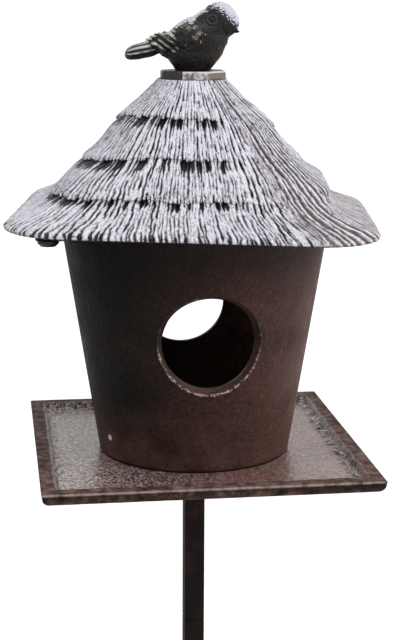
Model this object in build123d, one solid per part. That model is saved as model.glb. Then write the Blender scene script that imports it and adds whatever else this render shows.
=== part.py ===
from build123d import *
import os
from math import atan, cos, degrees, radians, sin, tan

# A cast bird feeder on a square post. Everything is in millimetres.
# The origin is the centre of the post's foot on the ground, +Z is up,
# and the front opening of the pot faces -Y.

# Driving dimensions
TRAY_SIDE = 200.0
RIM_TOP = 480.0
POST_SIDE = 12.7
POST_CORNER = 0.8
POST_END_CHAMFER = 0.5
POST_JOINT = 358.0
CUT_PAST = 1.0

# Tray, a shallow pan
TRAY_HEIGHT = 8.5
TRAY_RIM = 8.0
TRAY_DEPTH = 4.5
TRAY_COVE_RUN = 4.0
TRAY_UNDER_ROUND = 5.5
TRAY_EDGE_ROUND = 0.6
TRAY_RECESS_CORNER = 3.0

# Pot, a tapered round wall with a floor
POT_BASE_RADIUS = 59.4
POT_SPREAD = 0.159
POT_WALL = 7.0
POT_FLOOR = 5.0
POT_HEIGHT = 150.5
OPENING_RADIUS = 27.5
OPENING_ABOVE_RIM = 76.0
OPENING_BEVEL_FACE = 3.5
OPENING_BEVEL_DEPTH = 6.0

# Ears on the pot, which carry the roof
EAR_TURN = 16.0
EAR_REACH = 94.5
EAR_END_RADIUS = 7.6
EAR_THICKNESS = 3.0
EAR_UNDERSIDE = 132.5
EAR_FILLET = 5.0
EAR_ROOT = 1.5

# Roof, four tiers of thatch on a rounded square plan
ROOF_TURN = -9.0
EAVE_ABOVE_RIM = 141.8
ROOF_TOP_WALL = 6.5
EAVE_CORNER_SHARE = 0.38
TOP_CORNER_SHARE = 0.92
MOST_CORNER_SHARE = 0.97
ROOF_RISE = 83.4
ROOF_LEAN = -2.0
ROOF_LEAN_HEIGHT = 12.0
ROOF_TILT = 1.2
ROOF_TILT_TOP = 40.0
BOSS_RADIUS = 8.0

# Each tier from its lower edge upward: (height above the eave, half width)
EAVE_TIER = [(-0.6, 106.0), (1.4, 108.0), (5.0, 103.8), (9.5, 93.8), (16.5, 79.0)]
THIRD_TIER = [(14.0, 86.0), (17.0, 80.6), (21.2, 75.6), (26.5, 72.4), (34.0, 69.2)]
SECOND_TIER = [(32.2, 72.6), (37.2, 64.9), (43.5, 57.6), (57.0, 48.8)]
TOP_TIER = [(55.2, 51.5), (59.5, 46.5), (72.5, 31.6), (ROOF_RISE, 20.8)]

# Partings between the main bundles of straw. Each runs from the crown to the eave along the tiers.
PARTING_TURNS = [-45.0, -31.0, -16.0, 0.0, 16.0, 31.0]
PARTING_WIDTH = 2.2
PARTING_DEPTH = 1.4
PARTING_LINE = [(79.0, 24.5), (72.5, 31.6), (59.5, 46.5), (55.3, 51.0), (55.0, 49.8), (43.5, 57.6),
                (37.2, 64.9), (32.3, 72.0), (32.0, 70.1), (26.5, 72.4), (21.2, 75.6), (17.0, 80.6),
                (14.1, 85.6), (13.9, 84.8), (9.5, 93.8), (5.0, 103.8), (1.4, 108.0), (-4.0, 106.0)]

# The hollow's own levels, and the line where the crown begins
CROWN_LINE = 66.2
BOSS_ROOT = 4.0
BOSS_TALLEST = 20.0
INSIDE = [(-1.0, 99.5), (16.0, 75.0), (54.0, 42.0), (ROOF_RISE - ROOF_TOP_WALL, 18.0)]

# Fasteners
STUD_RADIUS = 4.0
STUD_CLEARANCE = 0.3
STUD_GRIP = 20.0
STUD_PAST_NUT = 4.0
STUD_CHAMFER = 0.8
PLATE_SIDE = 44.0
PLATE_CORNER = 3.0
PLATE_THICKNESS = 4.0
WASHER_RADIUS = 12.0
WASHER_THICKNESS = 2.0
NUT_ACROSS_FLATS = 13.0
NUT_HEIGHT = 6.5
NUT_CHAMFER = 0.6
BOLT_RADIUS = 3.0
BOLT_HEAD_RADIUS = 6.4
BOLT_HEAD_HEIGHT = 3.6
BOLT_GRIP = 12.0
SMALL_STUD_RADIUS = 2.5
SMALL_STUD_CLEARANCE = 0.2
SMALL_STUD_PAST_NUT = 2.0
SMALL_WASHER_RADIUS = 8.0
SMALL_WASHER_THICKNESS = 1.6
SMALL_NUT_ACROSS_FLATS = 8.0
SMALL_NUT_HEIGHT = 4.0

# Cap plate
CAP_CORNER_RADIUS = 20.6
CAP_THICKNESS = 4.7
CAP_TURN = -114.8
CAP_CHAMFER = 0.9
CAP_SHIFT = -1.5

# Heights that follow from the ones above
TRAY_UNDERSIDE = RIM_TOP - TRAY_HEIGHT
TRAY_FLOOR = RIM_TOP - TRAY_DEPTH
POT_FLOOR_TOP = TRAY_FLOOR + POT_FLOOR
OPENING_HEIGHT = RIM_TOP + OPENING_ABOVE_RIM
EAR_BOTTOM = RIM_TOP + EAR_UNDERSIDE
EAR_TOP = EAR_BOTTOM + EAR_THICKNESS
EAVE = RIM_TOP + EAVE_ABOVE_RIM
ROOF_TOP = EAVE + ROOF_RISE
CAP_TOP = ROOF_TOP + CAP_THICKNESS


def round_bar(radius, low, high):
    """An upright round bar or hole between two heights."""
    return Pos(0, 0, low) * Cylinder(radius, high - low, align=(Align.CENTER, Align.CENTER, Align.MIN))


def square_bar(low, high):
    """A length of the square post with softened corners and chamfered ends."""
    bar = Pos(0, 0, low) * Box(POST_SIDE, POST_SIDE, high - low,
                               align=(Align.CENTER, Align.CENTER, Align.MIN))
    return fillet(bar.edges().filter_by(Axis.Z), POST_CORNER)


def post_lower():
    """The bar that stands on the ground, bored at its top for the joint stud."""
    bar = square_bar(0, POST_JOINT)
    bar = chamfer(bar.faces().sort_by(Axis.Z)[-1].edges(), POST_END_CHAMFER)
    return bar - round_bar(STUD_RADIUS, POST_JOINT - STUD_GRIP, POST_JOINT + CUT_PAST)


def post_upper():
    """The short bar under the tray, bored at both ends."""
    top = TRAY_UNDERSIDE - PLATE_THICKNESS
    bar = square_bar(POST_JOINT, top)
    bar = chamfer(bar.faces().sort_by(Axis.Z)[0].edges(), POST_END_CHAMFER)
    bar -= round_bar(STUD_RADIUS, POST_JOINT - CUT_PAST, POST_JOINT + STUD_GRIP)
    return bar - round_bar(STUD_RADIUS, top - STUD_GRIP, top + CUT_PAST)


def post_joint_stud():
    return round_bar(STUD_RADIUS, POST_JOINT - STUD_GRIP, POST_JOINT + STUD_GRIP)


def support_plate():
    """The square plate on the post's end that the tray lies on."""
    outline = RectangleRounded(PLATE_SIDE, PLATE_SIDE, PLATE_CORNER)
    plate = extrude(Plane.XY.offset(TRAY_UNDERSIDE - PLATE_THICKNESS) * outline, PLATE_THICKNESS)
    return plate - round_bar(STUD_RADIUS, TRAY_UNDERSIDE - 2 * PLATE_THICKNESS, TRAY_UNDERSIDE + CUT_PAST)


def clamp_stud():
    low = TRAY_UNDERSIDE - PLATE_THICKNESS - STUD_GRIP
    high = POT_FLOOR_TOP + WASHER_THICKNESS + NUT_HEIGHT + STUD_PAST_NUT
    stud = round_bar(STUD_RADIUS, low, high)
    return chamfer(stud.faces().sort_by(Axis.Z)[-1].edges(), STUD_CHAMFER)


def washer(outer, inner, low, thickness):
    disc = round_bar(outer, low, low + thickness)
    return disc - round_bar(inner, low - CUT_PAST, low + thickness + CUT_PAST)


def hex_nut(across_flats, bore, low, height):
    """A nut whose corners are turned down at the top and bottom."""
    outline = RegularPolygon(across_flats / 2, 6, major_radius=False)
    blank = extrude(Plane.XY.offset(low) * outline, height)
    corner = across_flats / 2 / cos(radians(30))
    turned = chamfer(round_bar(corner, low, low + height).edges(), NUT_CHAMFER)
    return (blank & turned) - round_bar(bore, low - CUT_PAST, low + height + CUT_PAST)


def clamp_washer():
    return washer(WASHER_RADIUS, STUD_RADIUS, POT_FLOOR_TOP, WASHER_THICKNESS)


def clamp_nut():
    return hex_nut(NUT_ACROSS_FLATS, STUD_RADIUS, POT_FLOOR_TOP + WASHER_THICKNESS, NUT_HEIGHT)


def tray():
    """The pan: round under its edges, with a coved recess inside a flat rim."""
    blank = extrude(Plane.XY.offset(TRAY_UNDERSIDE) * Rectangle(TRAY_SIDE, TRAY_SIDE), TRAY_HEIGHT)
    pan = fillet(blank.faces().sort_by(Axis.Z)[0].edges(), TRAY_UNDER_ROUND)
    mouth = TRAY_SIDE - 2 * TRAY_RIM
    floor = mouth - 2 * TRAY_COVE_RUN
    low = Plane.XY.offset(TRAY_FLOOR) * RectangleRounded(floor, floor, TRAY_RECESS_CORNER)
    high = Plane.XY.offset(RIM_TOP) * RectangleRounded(mouth, mouth, TRAY_RECESS_CORNER + 1)
    pan -= loft([low, high], ruled=True)
    pan = fillet(pan.faces().sort_by(Axis.Z)[-1].edges(), TRAY_EDGE_ROUND)
    return pan - round_bar(STUD_RADIUS + STUD_CLEARANCE, TRAY_UNDERSIDE - CUT_PAST, RIM_TOP)


def pot_radius(height):
    """The pot's outer radius at a height above its base."""
    return POT_BASE_RADIUS + POT_SPREAD * height


def around(turn, x, y=0.0):
    """A place in plan at distance x along a direction turned from +X, and y across it."""
    return (x * cos(radians(turn)) - y * sin(radians(turn)),
            x * sin(radians(turn)) + y * cos(radians(turn)))


def ear(turn):
    """A tab with a rounded end and a hollow fillet below, where it grows out of the wall."""
    above_base = EAR_BOTTOM - TRAY_FLOOR
    wall = pot_radius(above_base) - EAR_ROOT
    reach = EAR_REACH + EAR_END_RADIUS + CUT_PAST
    with BuildSketch(Plane.XZ) as section:
        with BuildLine():
            low = (wall - POT_SPREAD * EAR_FILLET, EAR_BOTTOM - EAR_FILLET)
            bend = (wall + EAR_ROOT + EAR_FILLET, EAR_BOTTOM)
            hollow = RadiusArc(low, bend, EAR_FILLET + EAR_ROOT)
            Polyline(bend, (reach, EAR_BOTTOM), (reach, EAR_TOP), (wall - EAR_ROOT, EAR_TOP), low)
        make_face()
    flange = revolve(section.sketch, Axis.Z, 360)
    length = EAR_REACH - wall + EAR_FILLET
    middle = around(turn, EAR_REACH - length / 2)
    outline = Pos(*middle, 0) * Rot(0, 0, turn) * SlotCenterToCenter(length, 2 * EAR_END_RADIUS)
    tab = extrude(Plane.XY.offset(EAR_BOTTOM - 2 * EAR_FILLET) * outline, 4 * EAR_FILLET)
    bolt_at = around(turn, EAR_REACH)
    hole = round_bar(BOLT_RADIUS + STUD_CLEARANCE, EAR_BOTTOM - CUT_PAST, EAR_TOP + CUT_PAST)
    return (flange & tab) - Pos(*bolt_at, 0) * hole


def bevel_cutter():
    """What the front opening's bevel takes away: an oval flare, square to the sloping wall.

    The wall curves away at the opening's sides, so the flare is wider there.
    """
    face = pot_radius(OPENING_HEIGHT - TRAY_FLOOR)
    side_face = (face ** 2 - OPENING_RADIUS ** 2) ** 0.5
    steep = OPENING_BEVEL_FACE / OPENING_BEVEL_DEPTH
    bevel_radius = OPENING_RADIUS + OPENING_BEVEL_FACE
    ovals = []
    for distance in (side_face - OPENING_BEVEL_DEPTH, face + 2 * OPENING_BEVEL_DEPTH):
        half_width = bevel_radius + steep * (distance - side_face)
        half_height = bevel_radius + steep * (distance - face)
        plane = Plane(origin=(0, -distance, 0), x_dir=(1, 0, 0), z_dir=(0, -1, 0))
        ovals.append(plane * Ellipse(half_width, half_height))
    lean = degrees(atan(POT_SPREAD))
    return Pos(0, -face, OPENING_HEIGHT) * Rot(lean, 0, 0) * Pos(0, face, 0) * loft(ovals, ruled=True)


def quarter(turn, low, high):
    """An upright wedge with its right angle on the axis, centred on a direction in plan."""
    reach = 2 * TRAY_SIDE
    corners = [(0, 0), around(turn - 45, reach), around(turn + 45, reach)]
    return extrude(Plane.XY.offset(low) * make_face(Polyline(*corners, close=True)), high - low)


def pot_shell():
    """The tapered wall all round, open at both ends, with a bevelled opening front and back."""
    top = pot_radius(POT_HEIGHT)
    inner_base = POT_BASE_RADIUS - POT_WALL
    wall = [(inner_base, 0), (POT_BASE_RADIUS, 0), (top, POT_HEIGHT), (top - POT_WALL, POT_HEIGHT)]
    section = Plane.XZ * make_face(Polyline(*wall, close=True))
    shell = Pos(0, 0, TRAY_FLOOR) * revolve(section, Axis.Z, 360)
    shell -= Pos(0, 0, OPENING_HEIGHT) * Rot(90, 0, 0) * Cylinder(OPENING_RADIUS, 2 * TRAY_SIDE)
    for turn in (0, 180):
        shell -= Rot(0, 0, turn) * bevel_cutter()
    return shell


def pot_wall(shell, turn):
    """A quarter of the wall, with the ear where one grows out of it."""
    wall = shell & quarter(turn, TRAY_FLOOR - CUT_PAST, TRAY_FLOOR + POT_HEIGHT + CUT_PAST)
    if turn in (0, 180):
        wall += ear(turn + EAR_TURN)
    return wall


def pot_floor():
    """The round bottom inside the wall, with the clamp stud's hole."""
    radius = POT_BASE_RADIUS - POT_WALL
    disc = Pos(0, 0, TRAY_FLOOR) * Cone(radius, radius + POT_SPREAD * POT_FLOOR, POT_FLOOR,
                                        align=(Align.CENTER, Align.CENTER, Align.MIN))
    return disc - round_bar(STUD_RADIUS + STUD_CLEARANCE, TRAY_FLOOR - CUT_PAST, POT_FLOOR_TOP + CUT_PAST)


def corner_share(height):
    """How much of the half width the corner's radius takes up, at a height above the eave."""
    share = EAVE_CORNER_SHARE + (TOP_CORNER_SHARE - EAVE_CORNER_SHARE) * height / ROOF_RISE
    return min(share, MOST_CORNER_SHARE)


def roof_lean(height):
    """The tiers above the eave sit a little to the left of it."""
    return ROOF_LEAN * min(max(height / ROOF_LEAN_HEIGHT, 0.0), 1.0)


def roof_tilt(height):
    """The eave dips a little on the right."""
    return ROOF_TILT * min(max(2 - 2 * height / ROOF_TILT_TOP, 0.0), 1.0)


def roof_section(height, half_width):
    """A rounded square across the roof, squarer at the eave and rounder towards the top."""
    side = 2 * half_width
    outline = RectangleRounded(side, side, half_width * corner_share(height))
    level = Pos(roof_lean(height), 0, EAVE + height) * Rot(0, roof_tilt(height), 0)
    return level * Rot(0, 0, ROOF_TURN) * outline


def roof_reach(height, half_width, turn):
    """How far the rounded square reaches in a direction turned from the middle of its side."""
    corner = half_width * corner_share(height)
    flat = half_width - corner
    angle = radians(abs(turn))
    if half_width * tan(angle) <= flat:
        return half_width / cos(angle)
    along = flat * (cos(angle) + sin(angle))
    return along + (along ** 2 - 2 * flat ** 2 + corner ** 2) ** 0.5


def parting(side, turn):
    """A thin upright blade that cuts one parting down the roof's slope."""
    direction = side + turn + ROOF_TURN
    edge = []
    for height, half_width in PARTING_LINE:
        reach = roof_reach(max(height, 0.0), half_width, turn) - PARTING_DEPTH
        dip = reach * cos(radians(direction)) * sin(radians(roof_tilt(height)))
        edge.append((reach + roof_lean(height) * cos(radians(direction)), EAVE + height - dip))
    clear = edge[-1][0] + EAR_REACH
    outline = Polyline(*edge, (clear, edge[-1][1]), (clear, edge[0][1]), close=True)
    blade = extrude(Plane.XZ * make_face(outline), PARTING_WIDTH / 2, both=True)
    return Rot(0, 0, direction) * blade


def thatch_tier(levels):
    """One tier, from its lower edge to where the next one covers it."""
    return loft([roof_section(height, width) for height, width in levels], ruled=True)


def roof_shell():
    """Four overlapping tiers outside, hollow inside, with a boss over each ear and the partings."""
    tiers = thatch_tier(EAVE_TIER) + thatch_tier(THIRD_TIER)
    tiers = tiers + thatch_tier(SECOND_TIER) + thatch_tier(TOP_TIER)
    shell = tiers - thatch_tier(INSIDE)
    for turn in (EAR_TURN, EAR_TURN + 180):
        place = Pos(*around(turn, EAR_REACH), 0)
        shell += place * round_bar(BOSS_RADIUS, EAR_TOP, EAVE + BOSS_ROOT)
        shell += tiers & place * round_bar(BOSS_RADIUS, EAVE, EAVE + BOSS_TALLEST)
        shell -= place * round_bar(BOLT_RADIUS, EAR_TOP - CUT_PAST, EAR_TOP + BOLT_GRIP)
    for side in (-90, 0, 90, 180):
        for turn in PARTING_TURNS:
            shell -= parting(side, turn)
    return shell


def roof_side(shell, turn):
    """One side of the roof, from hip to hip and from the eave to the crown."""
    return shell & quarter(turn + ROOF_TURN, EAR_TOP - CUT_PAST, EAVE + CROWN_LINE)


def roof_crown(shell):
    """The closed top of the roof, with the hole for the bird's stud."""
    above = Pos(0, 0, EAVE + CROWN_LINE) * Box(TRAY_SIDE, TRAY_SIDE, TRAY_SIDE,
                                               align=(Align.CENTER, Align.CENTER, Align.MIN))
    bore = SMALL_STUD_RADIUS + SMALL_STUD_CLEARANCE
    hole = round_bar(bore, ROOF_TOP - 2 * ROOF_TOP_WALL, ROOF_TOP + CUT_PAST)
    return (shell & above) - Pos(CAP_SHIFT, 0, 0) * hole


def roof_bolt(turn):
    """A round-headed bolt, up through the ear into the roof's boss."""
    head = round_bar(BOLT_HEAD_RADIUS, EAR_BOTTOM - BOLT_HEAD_HEIGHT, EAR_BOTTOM)
    head = chamfer(head.faces().sort_by(Axis.Z)[0].edges(), BOLT_HEAD_HEIGHT / 2)
    shank = round_bar(BOLT_RADIUS, EAR_BOTTOM - BOLT_HEAD_HEIGHT / 2, EAR_TOP + BOLT_GRIP)
    return Pos(*around(turn, EAR_REACH), 0) * (head + shank)


def cap_plate():
    """The eight-sided plate between the roof's top and the bird."""
    outline = Rot(0, 0, CAP_TURN) * RegularPolygon(CAP_CORNER_RADIUS, 8)
    plate = extrude(Plane.XY.offset(ROOF_TOP) * outline, CAP_THICKNESS)
    plate = chamfer(plate.faces().sort_by(Axis.Z)[-1].edges(), CAP_CHAMFER)
    plate -= round_bar(SMALL_STUD_RADIUS + SMALL_STUD_CLEARANCE, ROOF_TOP - CUT_PAST, CAP_TOP + CUT_PAST)
    return Pos(CAP_SHIFT, 0, 0) * plate


# Bird. It looks towards +X, and its heights are above the cap's top.
BODY_MIDDLE = (1.0, 0.0, 17.6)
BODY_PITCH = 18.0
BODY_OUTLINE = [(-22.5, 0.0), (-18.0, 6.2), (-9.0, 11.6), (1.0, 13.8), (11.0, 12.6), (18.0, 8.0),
                (21.0, 0.0)]
HEAD_MIDDLE = (15.7, -1.5, 30.0)
HEAD_RADIUS = 10.6
CHEEK_OFFSET = (2.4, -0.8, -1.6)
CHEEK_RADIUS = 9.4
NECK_START = (5.0, 0.0, 18.0)
NECK_RADIUS = 13.4
NECK_TOP_RADIUS = 10.2
BEAK_TURN = -42.0
BEAK_DIP = 28.0
BEAK_START = 8.0
BEAK_LENGTH = 6.4
BEAK_RADIUS = 4.2
BEAK_TIP_RADIUS = 0.7
EYE_TURN = 68.0
EYE_RISE = 10.0
EYE_RADIUS = 2.4
EYE_REACH = 9.2
FOOT_HALF_SIZE = (10.5, 9.0)
FLANK_HALF_SIZE = (17.2, 12.0)
FLANK_HEIGHT = 9.5
BIRD_STUD_DEPTH = 10.0
BIRD_CUT = 30.0

# Tail from the side (forward, up) and from above (forward, out)
TAIL_SIDE = [(-8.0, 22.0), (-26.0, 18.2), (-37.5, 14.6), (-40.0, 11.2), (-38.0, 7.6), (-33.0, 6.4),
             (-24.0, 7.8), (-8.0, 13.0)]
TAIL_PLAN = [(-8.0, 4.0), (-22.0, 6.0), (-36.0, 6.9), (-39.4, 4.6), (-39.4, -4.6), (-36.0, -6.9),
             (-22.0, -6.0), (-8.0, -4.0)]

# Folded wing, seen from the side, and the tips of its long feathers lying along the rump
WING_OUTLINE = [(9.0, 25.0), (4.0, 13.0), (-12.0, 10.0), (-26.0, 15.2), (-24.0, 19.4), (-8.0, 26.0),
                (4.0, 29.5)]
WING_RELIEF = 1.1
WING_TIP = [(-10.0, 23.5), (-20.0, 22.4), (-27.0, 20.2), (-29.0, 17.6), (-27.0, 15.0), (-20.0, 12.4),
            (-10.0, 11.0)]
WING_TIP_IN = 3.0
WING_TIP_OUT = 8.4


def bird_flesh(extra):
    """The plump body, turned about its own axis from rump to breast, with some extra all over."""
    shares = [(x, y + extra * min(y, 1.0)) for x, y in BODY_OUTLINE]
    shares[0] = (shares[0][0] - extra, 0.0)
    shares[-1] = (shares[-1][0] + extra, 0.0)
    outline = make_face([Spline(*shares), Line(shares[-1], shares[0])])
    body = revolve(Plane.XZ * outline, Axis.X, 360)
    return Pos(*BODY_MIDDLE) * Rot(0, -BODY_PITCH, 0) * body


def bird_neck():
    """A short thick neck that leads from the back and breast up into the head."""
    along = Vector(*HEAD_MIDDLE) - Vector(*NECK_START)
    plane = Plane(origin=NECK_START, z_dir=along)
    return plane * Cone(NECK_RADIUS, NECK_TOP_RADIUS, along.length,
                        align=(Align.CENTER, Align.CENTER, Align.MIN))


def bird_beak():
    """A short stout beak, pointing down and towards the front."""
    towards = Rot(0, 0, BEAK_TURN) * Rot(0, 90 + BEAK_DIP, 0)
    beak = Cone(BEAK_RADIUS, BEAK_TIP_RADIUS, BEAK_LENGTH, align=(Align.CENTER, Align.CENTER, Align.MIN))
    return towards * Pos(0, 0, BEAK_START) * beak


def with_head(figure):
    """The figure with its round head, full cheeks, neck, beak and two eyes, joined on in turn."""
    place = Pos(*HEAD_MIDDLE)
    figure += place * Sphere(HEAD_RADIUS)
    figure += place * Pos(*CHEEK_OFFSET) * Sphere(CHEEK_RADIUS)
    figure += bird_neck()
    figure += place * bird_beak()
    for turn in (BEAK_TURN - EYE_TURN, BEAK_TURN + EYE_TURN):
        figure += place * Rot(0, -EYE_RISE, turn) * Pos(EYE_REACH, 0, 0) * Sphere(EYE_RADIUS)
    return figure


def bird_tail():
    """A thick tail that widens from the rump to its blunt end."""
    from_side = extrude(Plane.XZ * make_face(Polyline(*TAIL_SIDE, close=True)), BIRD_CUT, both=True)
    from_above = extrude(make_face(Polyline(*TAIL_PLAN, close=True)), BIRD_CUT)
    return from_side & from_above


def bird_wings():
    """Both folded wings, a little proud of the flanks, with their tips along the rump."""
    outline = Plane.XZ * make_face(Polyline(*WING_OUTLINE, close=True))
    wings = extrude(outline, BIRD_CUT, both=True) & bird_flesh(WING_RELIEF)
    tip_outline = make_face(Polyline(*WING_TIP, close=True))
    for side in (-1, 1):
        inner_face = Plane.XZ.offset(side * WING_TIP_IN) * tip_outline
        wings += extrude(inner_face, side * (WING_TIP_OUT - WING_TIP_IN))
    return wings


def bird_foot():
    """The mount under the body, round on the cap and drawn out along the belly."""
    low = Ellipse(*FOOT_HALF_SIZE)
    high = Plane.XY.offset(FLANK_HEIGHT) * Ellipse(*FLANK_HALF_SIZE)
    return loft([low, high], ruled=True)


def bird():
    """One casting: body, neck, head, tail, two folded wings and the mount, bored for its stud."""
    figure = with_head(bird_flesh(0) + bird_foot()) + bird_tail() + bird_wings()
    figure = Pos(0, 0, CAP_TOP) * figure
    figure -= round_bar(SMALL_STUD_RADIUS, CAP_TOP - CUT_PAST, CAP_TOP + BIRD_STUD_DEPTH)
    return Pos(CAP_SHIFT, 0, 0) * figure


def bird_stud():
    underside = ROOF_TOP - ROOF_TOP_WALL
    low = underside - SMALL_WASHER_THICKNESS - SMALL_NUT_HEIGHT - SMALL_STUD_PAST_NUT
    return Pos(CAP_SHIFT, 0, 0) * round_bar(SMALL_STUD_RADIUS, low, CAP_TOP + BIRD_STUD_DEPTH)


def bird_washer():
    low = ROOF_TOP - ROOF_TOP_WALL - SMALL_WASHER_THICKNESS
    ring = washer(SMALL_WASHER_RADIUS, SMALL_STUD_RADIUS, low, SMALL_WASHER_THICKNESS)
    return Pos(CAP_SHIFT, 0, 0) * ring


def bird_nut():
    low = ROOF_TOP - ROOF_TOP_WALL - SMALL_WASHER_THICKNESS - SMALL_NUT_HEIGHT
    nut = hex_nut(SMALL_NUT_ACROSS_FLATS, SMALL_STUD_RADIUS, low, SMALL_NUT_HEIGHT)
    return Pos(CAP_SHIFT, 0, 0) * nut


POT = pot_shell()
ROOF = roof_shell()

PIECES = {
    "post_lower": post_lower(),
    "post_joint_stud": post_joint_stud(),
    "post_upper": post_upper(),
    "support_plate": support_plate(),
    "clamp_stud": clamp_stud(),
    "clamp_washer": clamp_washer(),
    "clamp_nut": clamp_nut(),
    "tray": tray(),
    "pot_floor": pot_floor(),
    "pot_front_wall": pot_wall(POT, -90),
    "pot_right_wall": pot_wall(POT, 0),
    "pot_back_wall": pot_wall(POT, 90),
    "pot_left_wall": pot_wall(POT, 180),
    "roof_bolt_left": roof_bolt(EAR_TURN + 180),
    "roof_bolt_right": roof_bolt(EAR_TURN),
    "roof_front": roof_side(ROOF, -90),
    "roof_right": roof_side(ROOF, 0),
    "roof_back": roof_side(ROOF, 90),
    "roof_left": roof_side(ROOF, 180),
    "roof_crown": roof_crown(ROOF),
    "cap_plate": cap_plate(),
    "bird": bird(),
    "bird_stud": bird_stud(),
    "bird_washer": bird_washer(),
    "bird_nut": bird_nut(),
}

os.makedirs("parts", exist_ok=True)
for name, piece in PIECES.items():
    export_step(piece, f"parts/{name}.step")
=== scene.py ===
import math
import bpy
import bmesh
import numpy as np
from mathutils import Matrix, Vector


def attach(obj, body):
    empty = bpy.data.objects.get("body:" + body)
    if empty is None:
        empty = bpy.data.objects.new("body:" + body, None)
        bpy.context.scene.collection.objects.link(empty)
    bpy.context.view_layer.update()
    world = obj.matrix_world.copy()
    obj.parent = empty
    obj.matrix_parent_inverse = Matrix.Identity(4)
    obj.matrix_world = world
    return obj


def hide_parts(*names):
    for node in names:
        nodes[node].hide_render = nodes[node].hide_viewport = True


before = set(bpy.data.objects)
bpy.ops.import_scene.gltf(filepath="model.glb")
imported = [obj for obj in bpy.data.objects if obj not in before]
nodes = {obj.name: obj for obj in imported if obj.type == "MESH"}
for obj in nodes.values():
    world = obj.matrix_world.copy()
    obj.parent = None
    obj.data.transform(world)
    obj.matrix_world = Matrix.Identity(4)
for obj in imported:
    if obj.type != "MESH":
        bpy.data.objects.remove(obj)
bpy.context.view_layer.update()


# The post: two lengths of 12.7 mm square steel bar, one on top of the other over a hidden
# stud, with a square plate welded on under the tray. All of it has one coat of dark brown
# paint, thin enough that the red primer shows through in places.

def fed(node, inputs):
    """Joins plain values, or other nodes' outputs, to a node's inputs by name or number."""
    for name, value in inputs.items():
        if isinstance(value, bpy.types.NodeSocket):
            node.id_data.links.new(value, node.inputs[name])
        else:
            node.inputs[name].default_value = value


def added(tree, kind, inputs, **settings):
    """The outputs of a new node with these inputs and settings."""
    node = tree.nodes.new("ShaderNode" + kind)
    for name, value in settings.items():
        setattr(node, name, value)
    fed(node, inputs)
    return node.outputs


def finish_of(name):
    """A new material, with its node tree and its surface shader."""
    made = bpy.data.materials.new(name)
    made.use_nodes = True
    tree = made.node_tree
    tree.nodes.clear()
    shader = tree.nodes.new("ShaderNodeBsdfPrincipled")
    added(tree, "OutputMaterial", {"Surface": shader.outputs["BSDF"]})
    return made, tree, shader


def place(tree, stretch=(1.0, 1.0, 1.0)):
    """The spot on the object in metres, scaled along each axis."""
    spot = added(tree, "TexCoord", {})["Object"]
    return added(tree, "Mapping", {"Scale": stretch, "Vector": spot})["Vector"]


def mottle(where, scale, detail=3.0, roughness=0.55):
    """Soft cloudy variation between 0 and 1."""
    inputs = {"Vector": where, "Scale": scale, "Detail": detail, "Roughness": roughness}
    return added(where.id_data, "TexNoise", inputs)["Fac"]


def linear(red, green, blue):
    """A colour given as it looks on a screen, 0 to 255, turned into light."""
    shares = [value / 255 for value in (red, green, blue)]
    light = [s / 12.92 if s < 0.04045 else ((s + 0.055) / 1.055) ** 2.4 for s in shares]
    return (*light, 1.0)


def shaded(value, *stops):
    """A value turned into a colour by stops: a value, then a colour as on a screen."""
    ramp = value.id_data.nodes.new("ShaderNodeValToRGB")
    band = ramp.color_ramp
    while len(band.elements) < len(stops):
        band.elements.new(0.5)
    for element, (position, *colour) in zip(band.elements, stops):
        element.position = position
        element.color = linear(*colour)
    fed(ramp, {"Fac": value})
    return ramp.outputs["Color"]


def spread(value, low, high, new_low=0.0, new_high=1.0):
    """A value stretched from one range to another and held inside it."""
    inputs = {"Value": value, "From Min": low, "From Max": high, "To Min": new_low, "To Max": new_high}
    return added(value.id_data, "MapRange", inputs)["Result"]


def swung(cloud, new_low, new_high):
    """Cloudy variation, which mostly lies between 0.3 and 0.7, stretched to another range."""
    return spread(cloud, 0.3, 0.7, new_low, new_high)


def mixed(share, under, over):
    """Two colours mixed, plain ones given as on a screen; a share of 1 gives the second."""
    under, over = (linear(*c) if isinstance(c, tuple) else c for c in (under, over))
    return added(share.id_data, "Mix", {"Factor": share, 6: under, 7: over}, data_type="RGBA")[2]


def raised(height, depth, strength, before=None):
    """Fine relief: heights of 0 to 1 stand for a depth in metres."""
    inputs = {"Height": height, "Distance": depth, "Strength": strength}
    if before is not None:
        inputs["Normal"] = before
    return added(height.id_data, "Bump", inputs)["Normal"]


def dress(piece, made):
    """Gives a piece one material."""
    piece.data.materials.clear()
    piece.data.materials.append(made)


bar_paint, tree, shader = finish_of("post_paint")
spot = place(tree)
patches = mottle(spot, 55.0, 4.0)
streaks = mottle(place(tree, (1.0, 1.0, 0.12)), 420.0)
brown = shaded(patches, (0.3, 8, 6, 5), (0.5, 22, 14, 11), (0.68, 52, 32, 27))
skin = raised(mottle(spot, 900.0, 2.0), 0.00012, 0.6)
fed(shader, {"Base Color": mixed(spread(streaks, 0.45, 0.75, 0.0, 0.45), brown, (16, 13, 13)),
             "Roughness": swung(patches, 0.56, 0.7),
             "Normal": raised(streaks, 0.0002, 0.5, skin),
             "Specular IOR Level": 0.12})
for name in ("post_lower", "post_upper", "support_plate"):
    dress(nodes[name], bar_paint)


# The studs, nuts and washers that join the post's two lengths and hold the tray and pot to
# the post and the bird to the roof: zinc-plated steel, dull and a little stained. The two
# round-headed roof bolts under the ears are painted over with the pot.

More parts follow.
